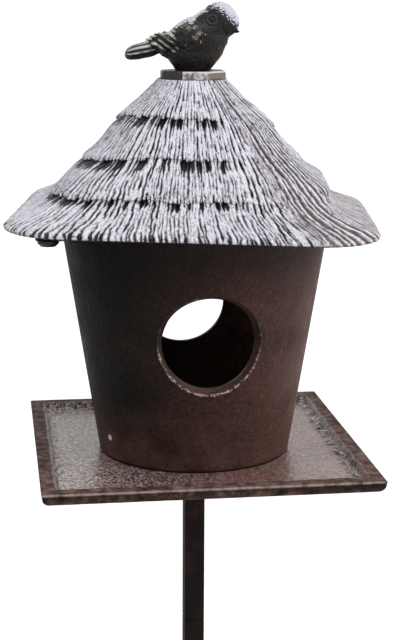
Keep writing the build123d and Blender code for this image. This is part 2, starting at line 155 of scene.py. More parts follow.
zinc, tree, shader = finish_of("zinc")
spot = place(tree)
stain = mottle(spot, 240.0, 4.0)
fed(shader, {"Base Color": shaded(stain, (0.35, 168, 166, 164), (0.7, 112, 104, 98)),
             "Metallic": 0.9,
             "Roughness": swung(stain, 0.34, 0.55),
             "Normal": raised(mottle(spot, 1500.0, 2.0), 0.00004, 0.6)})
for name in ("post_joint_stud", "clamp_stud", "clamp_washer", "clamp_nut",
             "bird_stud", "bird_washer", "bird_nut"):
    dress(nodes[name], zinc)

bolt_paint, tree, shader = finish_of("bolt_paint")
spot = place(tree)
patches = mottle(spot, 300.0)
fed(shader, {"Base Color": shaded(patches, (0.35, 18, 17, 17), (0.7, 32, 28, 28)),
             "Roughness": swung(patches, 0.3, 0.5),
             "Normal": raised(mottle(spot, 900.0, 2.0), 0.0001, 0.5)})
for name in ("roof_bolt_left", "roof_bolt_right"):
    dress(nodes[name], bolt_paint)


# The tray: a square cast pan, 200 mm across and 8.5 mm deep, with a narrow rim round a
# shallow recess. Thick enamel has run into the corner between floor and rim and dried
# there in a lumpy bead, and it lies on the floor like orange peel.

RIM = 0.480
TRAY_HALF = 0.100
TRAY_DEEP = 0.0045
TRAY_BOTTOM = RIM - 0.0085
MOUTH_HALF = 0.0920
MOUTH_ROUND = 0.0035
UNDER_ROUND = 0.0066
STUD_HOLE = 0.006


def wander(x, y, seed, repeat=256):
    """Smooth random hills between -1 and 1, one to a unit; x comes round again after repeat."""
    table = np.random.default_rng(seed).uniform(-1.0, 1.0, (repeat, 256))
    x, y = np.broadcast_arrays(np.asarray(x, float), np.asarray(y, float))
    low_x, low_y = np.floor(x).astype(int), np.floor(y).astype(int)
    part_x, part_y = x - low_x, y - low_y
    part_x = part_x * part_x * (3 - 2 * part_x)
    part_y = part_y * part_y * (3 - 2 * part_y)

    def corner(step_x, step_y):
        return table[(low_x + step_x) % repeat, (low_y + step_y) % 256]

    low = corner(0, 0) * (1 - part_x) + corner(1, 0) * part_x
    high = corner(0, 1) * (1 - part_x) + corner(1, 1) * part_x
    return low * (1 - part_y) + high * part_y


def put_in(name, data):
    """A new object in the scene."""
    made = bpy.data.objects.new(name, data)
    bpy.context.scene.collection.objects.link(made)
    return made


def piece_from(name, corners, faces):
    """A smooth piece from its corners and faces, riding on the one body of the feeder."""
    mesh = bpy.data.meshes.new(name)
    mesh.from_pydata([tuple(c) for c in corners], [], [tuple(int(i) for i in f) for f in faces])
    mesh.polygons.foreach_set("use_smooth", [True] * len(mesh.polygons))
    mesh.update()
    made = put_in(name, mesh)
    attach(made, "root")
    return made


def net_of(index):
    """The faces between neighbouring corners of a grid."""
    quads = np.stack([index[:-1, :-1], index[1:, :-1], index[1:, 1:], index[:-1, 1:]], axis=-1)
    return quads.reshape(-1, 4)


def remember(piece, **values):
    """Keeps named numbers for each corner of the mesh, for its material to read."""
    for name, numbers in values.items():
        kept = piece.data.attributes.new(name, "FLOAT", "POINT")
        kept.data.foreach_set("value", np.asarray(numbers, np.float32).ravel())


def eased(value, low, high):
    """Goes smoothly from 0 to 1 as the value goes from low to high."""
    share = np.clip((value - low) / (high - low), 0.0, 1.0)
    return share * share * (3 - 2 * share)


rim_steps = np.concatenate([[0.0, 0.00015, 0.0004, 0.0008], np.arange(0.0014, 0.0165, 0.00062)])
middle_steps = np.linspace(-TRAY_HALF + 0.017, TRAY_HALF - 0.017, 148)
line = np.concatenate([-TRAY_HALF + rim_steps, middle_steps, (TRAY_HALF - rim_steps)[::-1]])
count = len(line)
gx, gy = np.meshgrid(line, line, indexing="ij")

# distance inside (-) or outside (+) the mouth of the recess, whose corners are rounded
waver = 0.0005 * wander(gx * 90, gy * 90, 11) + 0.00025 * wander(gx * 300, gy * 300, 12)
out_x = np.abs(gx) - (MOUTH_HALF - MOUTH_ROUND) + waver
out_y = np.abs(gy) - (MOUTH_HALF - MOUTH_ROUND) + waver
far = np.hypot(np.maximum(out_x, 0), np.maximum(out_y, 0)) - MOUTH_ROUND
inside = far + np.minimum(np.maximum(out_x, out_y), 0)
top = RIM - TRAY_DEEP * eased(-inside, 0.0, 0.0042)

# the bead, thickest along the right side and at the back on the left
on_right = eased(gx, 0.070, 0.086) * eased(gy, -0.098, -0.070)
on_left = eased(-gx, 0.074, 0.088)
at_back = eased(gy, 0.074, 0.088) * (0.35 + 0.65 * eased(-gx, -0.02, 0.05))
at_front = eased(-gy, 0.074, 0.088)
strength = np.maximum.reduce([on_right, 0.42 * on_left, at_back, 0.25 * at_front])
clots = 0.5 + 0.5 * wander(gx * 330, gy * 330, 13) + 0.35 * wander(gx * 720, gy * 720, 14)
reach = np.exp(-((inside + 0.0050) / 0.0034) ** 2)
bead = strength * reach * np.clip(clots, 0, 1.4)
top = top + 0.0022 * bead
# orange peel on the floor, a faint unevenness all over, and the rim's outer edge rubbed round
peel = 0.5 * wander(gx * 420, gy * 420, 15) + 0.5 * wander(gx * 760, gy * 760, 16)
on_floor = eased(-inside, 0.003, 0.006)
top = top + on_floor * 0.00016 * peel + 0.00006 * wander(gx * 240, gy * 240, 17)
edge_gap = TRAY_HALF - np.maximum(np.abs(gx), np.abs(gy))
top = top - 0.0008 * (1 - eased(edge_gap, 0.0, 0.0011)) ** 2
top = np.minimum(top, RIM + 0.0004)

# the top, open round the stud, and then the side and the underside, ring by ring
corners = [np.stack([gx, gy, top], axis=-1).reshape(-1, 3)]
index = np.arange(count * count).reshape(count, count)
quads = net_of(index)
middle = corners[0][quads].mean(axis=1)
quads = quads[np.hypot(middle[:, 0], middle[:, 1]) > STUD_HOLE]
border = np.concatenate([index[:-1, 0], index[-1, :-1], index[:0:-1, -1], index[0, :0:-1]])
loop = border
start = count * count
rim_xy = corners[0][border][:, :2]
levels = [(0.0, RIM - 0.0022)]
levels += [(UNDER_ROUND * (1 - math.cos(turn)), TRAY_BOTTOM + UNDER_ROUND * (1 - math.sin(turn)))
           for turn in np.linspace(0, math.pi / 2, 9)]
levels += [(inset, TRAY_BOTTOM) for inset in (0.012, 0.030, 0.055, 0.080, 0.0955)]
for inset, height in levels:
    ring_xy = rim_xy * (1 - inset / TRAY_HALF)
    uneven = 0.00022 * wander(ring_xy[:, 0] * 170 + 9, ring_xy[:, 1] * 170 + height * 400, 18)
    ring_xy = ring_xy * (1 - (0.00025 + uneven)[:, None] / TRAY_HALF)
    corners.append(np.column_stack([ring_xy, np.full(len(border), height)]))
    fresh = start + np.arange(len(border))
    start += len(border)
    after = np.roll(fresh, -1)
    quads = np.concatenate([quads, np.stack([loop, fresh, after, np.roll(loop, -1)], axis=-1)])
    loop = fresh

tray = piece_from("tray_casting", np.concatenate(corners), quads)
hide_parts("tray")
lumpy = np.zeros(start)
lumpy[:count * count] = np.clip(bead, 0, 1.2).ravel()
on_rim = np.ones(start)
on_rim[:count * count] = eased(inside, -0.0012, 0.0004).ravel()
# a painted highlight along the front and right arrises of the rim
edge_highlight = np.zeros(start)
front_or_right = np.maximum(eased(-gy, 0.0980, 0.0988), eased(gx, 0.0980, 0.0988))
edge_highlight[:count * count] = ((1 - eased(edge_gap, 0.0001, 0.0007)) * front_or_right).ravel()
remember(tray, bead=lumpy, rim=on_rim, edge=edge_highlight)


def kept_value(tree, name):
    """A number that the mesh keeps for each of its corners."""
    return added(tree, "Attribute", {}, attribute_name=name)["Fac"]


def parts_of(vector):
    """The x, y and z of a vector."""
    return added(vector.id_data, "SeparateXYZ", {"Vector": vector})


def reckoned(kind, first, *others):
    """Arithmetic on values, one after the other."""
    for other in others:
        first = added(first.id_data, "Math", {0: first, 1: other}, operation=kind)["Value"]
    return first


def times(first, *others):
    """Values multiplied together."""
    return reckoned("MULTIPLY", first, *others)


enamel, tree, shader = finish_of("tray_enamel")
spot = place(tree)
patches = mottle(spot, 26.0, 4.0)
grain = mottle(spot, 520.0)
coarse = mottle(spot, 150.0, 4.0, 0.6)
stipple = mottle(spot, 640.0, 2.0, 0.6)
thick = kept_value(tree, "bead")
rim = kept_value(tree, "rim")
level_top = parts_of(added(tree, "NewGeometry", {})["True Normal"])["Z"]
# red enamel, with painted shade over the bead in the corner and in the dimples, and painted glints on the
# tops of the peel, most of them at the left
red = shaded(patches, (0.32, 104, 73, 65), (0.52, 130, 92, 82), (0.72, 152, 110, 98))
colour = mixed(spread(thick, 0.05, 0.4, 0.0, 0.85), red, (38, 30, 31))
colour = mixed(spread(stipple, 0.36, 0.47, 0.75, 0.0), colour, (50, 33, 29))
painted_glints = spread(parts_of(spot)["X"], -0.085, 0.01, 0.95, 0.22)
painted_glints = times(painted_glints, spread(stipple, 0.50, 0.60))
colour = mixed(painted_glints, colour, (208, 203, 204))
# painted highlights on the tops of the bead's lumps
lumps = times(thick, spread(grain, 0.42, 0.62))
colour = mixed(spread(lumps, 0.15, 0.6), colour, (206, 203, 208))
# the rim is browner, with painted light on its level top and painted shade on its sides, and a painted
# highlight along two edges
rim_lit_top = shaded(coarse, (0.35, 44, 33, 30), (0.50, 96, 74, 68), (0.70, 146, 120, 112))
rim_shaded_side = shaded(coarse, (0.35, 26, 18, 16), (0.52, 60, 42, 37), (0.70, 104, 76, 68))
colour = mixed(rim, colour, mixed(spread(level_top, 0.6, 0.95), rim_shaded_side, rim_lit_top))
# painted highlight along the front and right arrises
edge = times(kept_value(tree, "edge"), spread(coarse, 0.36, 0.52, 0.2, 0.9))
glossy = times(spread(level_top, 0.3, 0.9), spread(rim, 0.0, 1.0, 1.0, 0.0))
fed(shader, {"Base Color": mixed(edge, colour, (176, 158, 151)),
             "Roughness": reckoned("ADD", swung(grain, 0.30, 0.46), times(rim, 0.3)),
             "Normal": raised(mottle(spot, 1500.0, 2.0), 0.00010, 0.6, raised(stipple, 0.00042, 0.7)),
             "Specular IOR Level": spread(glossy, 0.0, 1.0, 0.10, 0.34),
             "Coat Weight": times(glossy, 0.48),
             "Coat Roughness": 0.13,
             "Coat Normal": raised(stipple, 0.00036, 0.7)})
dress(tray, enamel)


# The pot: one tapered casting with a 7 mm wall, standing in the tray, with a round way in
# at the front and another at the back, and an ear on each side for the roof bolts. Its
# paint is brown with a soft shine; painted shade makes it darker and greener on the left,
# and painted light makes it redder and paler on the right.

OPENING_AT = 0.556


def near_spot(spot, middle, radius, blur):
    """1 at a place on the object and 0 away from it; radius holds the spot's size each way."""
    tree = spot.id_data
    off = added(tree, "VectorMath", {0: spot, 1: middle}, operation="SUBTRACT")["Vector"]
    scaled = added(tree, "VectorMath", {0: off, 1: radius}, operation="DIVIDE")["Vector"]
    length = added(tree, "VectorMath", {0: scaled}, operation="LENGTH")["Value"]
    return spread(length, 1.0 - blur, 1.0 + blur, 1.0, 0.0)


pot_paint, tree, shader = finish_of("pot_paint")
spot = place(tree)
where = parts_of(spot)
broad = mottle(place(tree, (1.0, 1.0, 1.6)), 11.0)
patches = mottle(spot, 48.0, 5.0, 0.6)
fine = mottle(spot, 480.0, 4.0, 0.65)
# painted light and shade: darker and greener towards the left, redder and paler towards the right, broken
# by cloudy patches
across = spread(where["X"], -0.066, 0.066)
side_light_and_tone = reckoned("ADD", across, swung(broad, -0.17, 0.17), swung(patches, -0.06, 0.06))
paint_and_light = shaded(side_light_and_tone, (0.05, 14, 15, 13), (0.18, 32, 24, 21), (0.42, 50, 33, 29),
              (0.72, 76, 47, 41), (0.94, 98, 62, 54))
paint_and_light = mixed(spread(patches, 0.46, 0.72, 0.0, 0.7), paint_and_light, (18, 14, 13))
# paler in patches towards the foot, with painted highlights on the tops of the grain, most on the lit
# right, painted shade in the pores, and a painted shadow under the eave
foot = spread(where["Z"], 0.476, 0.520, 0.9, 0.0)
paint_and_light = mixed(times(foot, spread(patches, 0.3, 0.62)), paint_and_light, (98, 70, 64))
grain_highlight = times(spread(fine, 0.50, 0.70), spread(side_light_and_tone, 0.1, 0.8, 0.05, 0.5))
paint_and_light = mixed(grain_highlight, paint_and_light, (112, 78, 69))
paint_and_light = mixed(spread(fine, 0.34, 0.46, 0.45, 0.0), paint_and_light, (16, 12, 11))
eave_shadow = spread(where["Z"], 0.580, 0.606, 0.0, 0.85)
eave_shadow = times(eave_shadow, spread(patches, 0.35, 0.65, 1.0, 0.6))
paint_and_light = mixed(eave_shadow, paint_and_light, (14, 12, 11))
# the bevel of the way in is paler than the wall, most of all at the bottom
bevel = near_spot(spot, (0.0, -0.072, OPENING_AT), (0.0308, 0.03, 0.0312), 0.01)
low_part = spread(where["Z"], 0.530, 0.566, 0.75, 0.1)
paler_bevel = times(bevel, low_part, spread(where["X"], -0.012, 0.020, 1.0, 0.25),
               spread(fine, 0.3, 0.6, 0.4, 1.0))
paint_and_light = mixed(paler_bevel, paint_and_light, (118, 92, 84))
# a chip through to pale primer, low on the left, and a painted contact shadow where the pot meets the
# tray
chip = near_spot(spot, (-0.0554, -0.0273, 0.4900), (0.0010, 0.0036, 0.0018), 0.3)
paint_and_light = mixed(chip, paint_and_light, (226, 222, 216))
paint_and_light = mixed(spread(where["Z"], 0.4763, 0.4774, 0.95, 0.0), paint_and_light, (8, 6, 6))
fed(shader, {"Base Color": paint_and_light,
             "Roughness": swung(patches, 0.38, 0.56),
             "Normal": raised(fine, 0.0011, 0.9, raised(patches, 0.0016, 0.7)),
             "Specular IOR Level": spread(across, 0.0, 1.0, 0.05, 0.20)})
for name in ("pot_floor", "pot_front_wall", "pot_right_wall", "pot_back_wall", "pot_left_wall"):
    dress(nodes[name], pot_paint)


# The lip round each way in: where the bevel meets the wall the paint has run into a thin
# uneven bead, paler along its lower half.

# the wall's radius at the openings' height, and how much it and the bevel widen for each metre
WALL_RADIUS = 0.0722
WALL_LEAN = 0.159
BEVEL_RADIUS = 0.0310
BEVEL_SPREAD = 0.583
# how far out the wall stands at the bevel's sides
BEVEL_SIDES = 0.06676
LIP_STEPS = 288
LIP_SPOKES = 10


def lip_place(angle, side):
    """Where the bevel's outer edge meets the tapered wall, at an angle round the opening."""
    lean = math.atan(WALL_LEAN)
    distance = WALL_RADIUS
    for _ in range(12):
        off_x = (BEVEL_RADIUS + BEVEL_SPREAD * (distance - BEVEL_SIDES)) * math.cos(angle)
        off_z = (BEVEL_RADIUS + BEVEL_SPREAD * (distance - WALL_RADIUS)) * math.sin(angle)
        out = (distance - WALL_RADIUS) * math.cos(lean) + off_z * math.sin(lean)
        up = off_z * math.cos(lean) - (distance - WALL_RADIUS) * math.sin(lean)
        wall = WALL_RADIUS + WALL_LEAN * up
        distance += math.sqrt(max(wall * wall - off_x * off_x, 0.0)) - WALL_RADIUS - out
    return Vector((side * off_x, -side * (WALL_RADIUS + out), OPENING_AT + up))


lip_paint, tree, shader = finish_of("lip_paint")
fine = mottle(place(tree), 700.0, 3.0, 0.65)
pale_lip = times(kept_value(tree, "bright"), spread(fine, 0.42, 0.60, 0.1, 1.0))
fed(shader, {"Base Color": mixed(spread(pale_lip, 0.2, 0.9), (40, 28, 25), (188, 168, 160)),
             "Metallic": 0.2,
             "Roughness": 0.38,
             "Normal": raised(fine, 0.0002, 0.6)})

for way, side in (("front", 1), ("back", -1)):
    turns = [2 * math.pi * number / LIP_STEPS for number in range(LIP_STEPS)]
    path = [lip_place(turn, side) for turn in turns]
    corners, bright = [], []
    for number, middle in enumerate(path):
        ahead = (path[(number + 1) % LIP_STEPS] - path[number - 1]).normalized()
        outward = Vector((middle.x, middle.y, -WALL_LEAN * WALL_RADIUS)).normalized()
        beside = ahead.cross(outward).normalized()
        low_half = max(0.0, math.sin(-turns[number] - 0.05)) ** 0.5
        lumps = float(wander(number * 0.35, 3.0 + side, 61, 101))
        lumps = max(0.0, lumps + 0.6 * float(wander(number * 0.9, 9.0, 62, 260)))
        thick = 0.00030 + 0.00038 * low_half + 0.00046 * lumps
        for spoke in range(LIP_SPOKES):
            round_it = 2 * math.pi * spoke / LIP_SPOKES
            corners.append(middle + (outward * math.cos(round_it) + beside * math.sin(round_it)) * thick)
            bright.append(min(1.0, 0.1 + 0.9 * low_half + 0.35 * lumps))
    index = np.arange(LIP_STEPS * LIP_SPOKES).reshape(LIP_STEPS, LIP_SPOKES)
    faces = net_of(np.pad(index, ((0, 1), (0, 1)), mode="wrap"))
    lip_bead = piece_from("opening_lip_" + way, corners, faces)
    remember(lip_bead, bright=bright)
    dress(lip_bead, lip_paint)


# The roof: one cast shell, made to look like four tiers of thatch on a rounded square.
# The straws are ridges in the casting that divide as the roof widens; under each tier's
# edge there are dark pockets between them. Brown paint, with pale grey brushed over it.

EAVE = 0.6218
ROOF_TURN = math.radians(-9.0)
# from here on in mm: heights above the eave, and half widths
ROOF_RISE = 83.4
SLOPE = [(83.4, 20.8), (78.0, 26.2), (72.5, 31.8), (66.0, 39.0), (60.5, 45.2), (55.5, 49.6), (49.5, 53.9),
         (43.5, 58.6), (38.0, 64.2), (33.0, 69.6), (28.0, 74.0), (22.0, 78.6), (18.0, 82.0), (14.0, 86.0),
         (10.0, 92.4), (5.5, 102.2), (3.0, 106.4), (1.4, 107.7)]
TIER_EDGES = [83.4, 58.0, 36.2, 17.8, 1.4]
EDGE_SWAY = {1: (6.0, 0.07), 2: (5.4, 0.0), 3: (2.4, 0.0)}
ROUND_AT_EAVE, ROUND_AT_TOP = 0.38, 0.92
COLUMNS = 1760
ROWS_IN_TIER = [32, 28, 27, 32]
FIRST_GROOVES = 84
MORE_GROOVES = ((0.35, 116), (1.0, 156), (1.9, 198), (2.7, 240))
BOLD_AT, BOLD_REACH = 0.20, 0.12
STUD_AT = -1.5

along = np.arange(COLUMNS) / COLUMNS


def envelope(height):
    """Half the roof's width at a height above the eave, with no steps, in mm."""
    heights, widths = zip(*SLOPE[::-1])
    fine = np.linspace(0.0, 84.0, 421)
    smooth = np.interp(fine, heights, widths)
    for _ in range(30):
        smooth[1:-1] = (smooth[:-2] + 2 * smooth[1:-1] + smooth[2:]) / 4
    return np.interp(height, fine, smooth)


def round_the_square(half, height):
    """Place and outward direction round a square with rounded corners, for every column."""
    share = ROUND_AT_EAVE + (ROUND_AT_TOP - ROUND_AT_EAVE) * np.clip(height, 0, ROOF_RISE) / ROOF_RISE
    corner = half * np.minimum(share, 0.97)
    flat = half - corner
    quarter_length = 2 * flat + math.pi / 2 * corner
    quarter = np.floor(along * 4 + 1e-9)
    travelled = (along * 4 - quarter) * quarter_length
    turned = np.clip((travelled - flat) / np.maximum(corner, 1e-6), 0, math.pi / 2)
    onward = np.maximum(travelled - flat - math.pi / 2 * corner, 0)
    before = np.minimum(travelled, flat)
    x = before + corner * np.sin(turned)
    y = -half + corner * (1 - np.cos(turned)) + onward
    angle = quarter * math.pi / 2 + ROOF_TURN
    out = -math.pi / 2 + turned + angle
    place_x = x * np.cos(angle) - y * np.sin(angle)
    place_y = x * np.sin(angle) + y * np.cos(angle)
    return place_x, place_y, np.cos(out), np.sin(out)


# grooves between the straws: where each one starts on its way down, and where it runs
rng = np.random.default_rng(2024)
groove_at = np.arange(FIRST_GROOVES) + rng.uniform(-0.38, 0.38, FIRST_GROOVES)
groove_at = list(groove_at / FIRST_GROOVES)
groove_from = [-0.5] * FIRST_GROOVES
for start_tier, wanted in MORE_GROOVES:
    while len(groove_at) < wanted:
        order = np.argsort(groove_at)
        spots = np.array(groove_at)[order]
        spots = np.append(spots, spots[0] + 1)
        broad_here = 1 - 0.25 * eased(BOLD_REACH - np.abs(spots[:-1] - BOLD_AT), 0.0, 0.03)
        widest = int(np.argmax(np.diff(spots) * broad_here * rng.uniform(0.6, 1.4, len(spots) - 1)))
        gap = spots[widest + 1] - spots[widest]
        groove_at.append((spots[widest] + gap * rng.uniform(0.36, 0.64)) % 1.0)
        groove_from.append(start_tier + rng.uniform(-0.5, 0.5))
order = np.argsort(groove_at)
groove_at = np.array(groove_at)[order]
groove_from = np.array(groove_from)[order]
GROOVES = len(groove_at)
pocket_share = np.clip(rng.uniform(-1.0, 1.7, (5, GROOVES)), 0, 1)
straw_tip = rng.uniform(-1.0, 1.0, (5, GROOVES))
own_number = np.arange(GROOVES) * 1.37
deep_one = rng.random(GROOVES) < 0.42
deep_one = deep_one | (np.abs(groove_at - BOLD_AT) < BOLD_REACH)
groove_strength = np.where(deep_one, rng.uniform(1.0, 1.3, GROOVES), rng.uniform(0.5, 0.95, GROOVES))


def grooves_at(progress):
    """Where each groove runs and how open it is, at a point on the way down (0 to 4)."""
    bend = 0.42 * wander(own_number, progress * 2.3, 31) + 0.26 * wander(own_number, progress * 8.0, 32)
    at = groove_at + bend / GROOVES
    # the straws hang straighter than the roof spreads, so they fan out most at the corners
    in_side = (at * 4 + 0.5) % 1.0 - 0.5
    at = at - 0.36 * progress / 4 * np.sin(2 * math.pi * in_side) / (2 * math.pi) / 4
    born = eased(progress, groove_from, groove_from + 0.4)
    broken = np.clip(0.74 + 0.95 * wander(own_number, progress * 6.5, 33), 0.12, 1.0)
    return at % 1.0, born * broken * groove_strength


# the right side is combed into thin ridges and bulges a little, and the left side has the
# most pockets; the right-hand corner at the front has none: there the straws flow over the steps
ridged_side = eased(along, 0.075, 0.115) * (1 - eased(along, 0.40, 0.44))
shallower = 1 - 0.72 * ridged_side * eased(along, 0.13, 0.19)
bulging_side = eased(0.13 - np.abs(along - 0.25), 0.0, 0.07)
left_side = eased(0.14 - np.abs(along - 0.80), 0.0, 0.05)
pocket_zone = eased(np.abs((along - 0.125 + 0.5) % 1.0 - 0.5), 0.045, 0.085)


def straw_field(progress, perimeter, pocket, tier):
    """Depth below the straws' crowns in mm, how near each column is to a crown, and its straw."""
    at, openness = grooves_at(progress)
    alive = openness > 0.02
    numbers = np.arange(GROOVES)[alive]
    order = np.argsort(at[alive])
    at, openness, numbers = at[alive][order], openness[alive][order], numbers[order]
    right = np.searchsorted(at, along) % len(at)
    left = (right - 1) % len(at)
    to_right = ((at[right] - along) % 1.0) * perimeter
    to_left = ((along - at[left]) % 1.0) * perimeter
    straw = np.maximum(to_left + to_right, 0.2)
    slim = np.clip(straw / 2.8, 0.5, 1.3)
    depth = np.zeros(COLUMNS)
    for side, distance in ((left, to_left), (right, to_right)):
        hole = pocket * np.clip(pocket_share[tier, numbers[side]] + 0.5 * left_side, 0, 1)
        width = (0.36 + 0.20 * slim) * (1 + 1.25 * hole)
        cut = (1.0 * openness[side] * slim + 2.0 * hole) * np.exp(-(distance / width) ** 2)
        depth = np.maximum(depth, cut)
    middle = to_left / straw
    crown = 1 - np.abs(2 * middle - 1) ** 2.4
    joint_open = np.minimum(openness[left], openness[right])
    depth = depth + 0.40 * slim * (1 - crown) * (0.35 + 0.65 * joint_open)
    near_line = np.minimum(to_left, to_right)
    hollow = 1.15 * (1 - np.exp(-(near_line / (0.34 * straw)) ** 2)) * np.clip(straw / 2.6, 0.3, 1.1)
    depth = depth * (1 - ridged_side) + hollow * ridged_side
    return depth, crown, numbers[left]


def edge_line(tier):
    """How far the lower edge of a tier hangs at each column: higher at the front, and ragged."""
    if tier == 0:
        return np.zeros(COLUMNS)
    perimeter = 8 * envelope(TIER_EDGES[tier]) * 0.92
    _, crown, straw = straw_field(tier - 0.02, perimeter, 0.0, tier)
    ragged = 0.8 * straw_tip[tier, straw] + 0.8 * (crown - 0.6)
    if tier == 4:
        return 0.25 * ragged
    rolling = 0.9 * wander(along * 26, tier * 3.1, 34, 26)
    sway, turned_by = EDGE_SWAY[tier]
    return ragged + rolling - sway * np.cos(2 * math.pi * (along + turned_by))


edge_lines = [edge_line(tier) for tier in range(5)]


def settled(x, y, height):
    """Places on the roof, shifted and tipped to the left as the casting is."""
    lean = -2.0 * np.clip(height / 12.0, 0, 1)
    tilt = np.radians(1.2) * np.clip(2 - height / 20.0, 0, 1)
    return np.stack([x * np.cos(tilt) + lean, y, height - x * np.sin(tilt)], axis=-1)


def row_of_places(drop, lift, normal_slope):
    """A row at these heights, lifted off the roof's smooth form along its slope's normal."""
    fuller = 5.0 * np.exp(-((drop - 25.0) / 4.5) ** 2) - 1.0 * np.exp(-((drop - 12.0) / 4.0) ** 2)
    fuller = fuller + 2.0 * np.exp(-((drop - 5.0) / 3.5) ** 2)
    x, y, nx, ny = round_the_square(envelope(drop) + fuller * bulging_side, drop)
    across, up = normal_slope
    return settled(x + nx * lift * across, y + ny * lift * across, drop + lift * up)


rows = []
for tier in range(4):
    upper_edge, lower_edge = TIER_EDGES[tier:tier + 2]
    tier_run = math.hypot(envelope(lower_edge) - envelope(upper_edge), upper_edge - lower_edge)
    share = np.linspace(0, 1, ROWS_IN_TIER[tier])
    share = share - 0.09 * np.sin(2 * math.pi * share)
    rows += [(tier, part, tier_run, False) for part in share]
    if tier < 3:
        rows.append((tier, 1.0, tier_run, True))

# the flat top of the crown, round the hole for the bird's stud
surface, ridge_value, shade_value, down_value = [], [], [], []
for number, half in enumerate((2.8, 9.0, 15.0, 19.5)):
    x, y, _, _ = round_the_square(np.full(COLUMNS, half), ROOF_RISE)
    surface.append(np.stack([x + STUD_AT, y, np.full(COLUMNS, ROOF_RISE - 0.3)], axis=-1))
    ridge_value.append(np.full(COLUMNS, 0.3))
    shade_value.append(np.zeros(COLUMNS))
    down_value.append(np.full(COLUMNS, -8.0 + 2.0 * number))

# the tiers, row by row, each with a riser under its edge
flow = 1 - 0.85 * (1 - pocket_zone)
for tier, part, tier_run, riser in rows:
    upper_edge, lower_edge = TIER_EDGES[tier:tier + 2]
    height = upper_edge + (lower_edge - upper_edge) * part
    sag = edge_lines[tier] * (1 - part) + edge_lines[tier + 1] * part
    rise = 0.6
    spread_out = envelope(height - rise) - envelope(height + rise)
    steep = math.hypot(spread_out, 2 * rise)
    below_step = 0.0 if riser else part * tier_run
    above_edge = (1 - part) * tier_run
    pocket = np.zeros(COLUMNS)
    if riser:
        pocket = pocket_zone
    elif tier > 0:
        pocket = pocket_zone * math.exp(-(below_step / 6.4) ** 4)
    if tier == 3:
        pocket = np.maximum(pocket, 0.55 * pocket_zone * math.exp(-(above_edge / 4.0) ** 2))
    perimeter = 8 * envelope(height) * 0.9
    edge_number = tier + 1 if riser or (tier == 3 and above_edge < 12) else tier
    depth, _, straw = straw_field(tier + part, perimeter, pocket, edge_number)
    pits = wander(along * perimeter * 0.9, (tier * 31 + below_step) * 0.42 + tier * 7, 37)
    pits = pits + 0.5 * wander(along * perimeter * 1.9, (tier * 31 + below_step) * 1.1, 38)
    depth = depth + 0.5 * eased(pits, 0.45, 0.95)
    proud = 0.55 * eased(part, 0.35, 0.95)
    if tier < 3:
        proud = proud - 0.5 * eased(part, 0.955, 1.0)
    recess = 0.75 * math.exp(-(below_step / 6.0) ** 1.5) if tier > 0 else 0.0
    if riser:
        proud, recess = 0.0, 0.75
    swell = 0.22 * wander(along * 60, (tier + part) * 5, 35, 60)
    swell = swell + 0.14 * wander(along * 240, (tier + part) * 16, 36, 240)
    lift = flow * (proud - recess) - depth * shallower + swell - 0.35
    surface.append(row_of_places(height - sag, lift, (2 * rise / steep, spread_out / steep)))
    ridge_value.append(np.clip(1 - depth / 1.15, 0, 1))
    in_shade = pocket * pocket_share[edge_number, straw] * np.clip(depth / 1.2, 0, 1)
    shade_value.append(np.clip(in_shade, 0, 1))
    down_value.append(np.full(COLUMNS, tier * 40.0 + below_step))

# the eave's rounded lip, the flat below it, and the smooth hollow inside
lip = [(0.6, 107.6), (0.0, 107.0), (-0.5, 105.8), (-0.8, 103.0), (-1.0, 99.5), (3.0, 93.8), (8.0, 86.6),
       (16.0, 75.0), (30.0, 62.7), (42.0, 52.3), (54.0, 42.0), (66.0, 29.4), (ROOF_RISE - 6.5, 18.0),
       (ROOF_RISE - 6.5, 10.0), (ROOF_RISE - 6.5, 2.8)]
eave_depth, _, _ = straw_field(3.999, 8 * 107 * 0.9, 0.5 * pocket_zone, 4)
for number, (height, half) in enumerate(lip):
    groove = eave_depth * max(0.0, 1 - number / 4)
    lift = -(groove + 0.35) if number < 5 else 0.0
    x, y, nx, ny = round_the_square(np.full(COLUMNS, half), height)
    surface.append(settled(x + nx * lift, y + ny * lift, height))
    ridge_value.append(np.clip(1 - groove / 1.1, 0, 1) * max(0.0, 1 - number / 3))
    shade_value.append(np.full(COLUMNS, min(1.0, number / 2)))
    down_value.append(np.full(COLUMNS, 160.0 + 3.0 * number))

# the way each spot faces, worked out over the whole roof so that no seam shows between sides
surface = np.array(surface) * 0.001 + np.array([0, 0, EAVE])
turned = np.roll(surface, -1, axis=1) - np.roll(surface, 1, axis=1)
down = np.empty_like(surface)
down[1:-1] = surface[2:] - surface[:-2]
down[0], down[-1] = surface[1] - surface[0], surface[-1] - surface[-2]
facing = np.cross(down, turned)
facing /= np.maximum(np.linalg.norm(facing, axis=2, keepdims=True), 1e-12)
down_value = np.array(down_value)
browned = ridged_side * (0.4 + 0.6 * eased(along, 0.14, 0.22))
kept_values = {"ridge": np.array(ridge_value), "shade": np.array(shade_value), "down": down_value,
               "right": browned * eased(down_value, 75.0, 140.0),
               "left": np.broadcast_to(left_side, down_value.shape),
               "around": np.broadcast_to(along * 700.0, down_value.shape)}


def facing_towards(tree, direction):
    """How squarely the surface faces a direction, -1 to 1."""
    inputs = {0: added(tree, "NewGeometry", {})["Normal"], 1: Vector(direction).normalized()}
    return added(tree, "VectorMath", inputs, operation="DOT_PRODUCT")["Value"]


thatch, tree, shader = finish_of("thatch_paint")
spot = place(tree)
fine = mottle(spot, 800.0, 3.0, 0.65)
patches = mottle(spot, 60.0, 4.0)
ridge = kept_value(tree, "ridge")
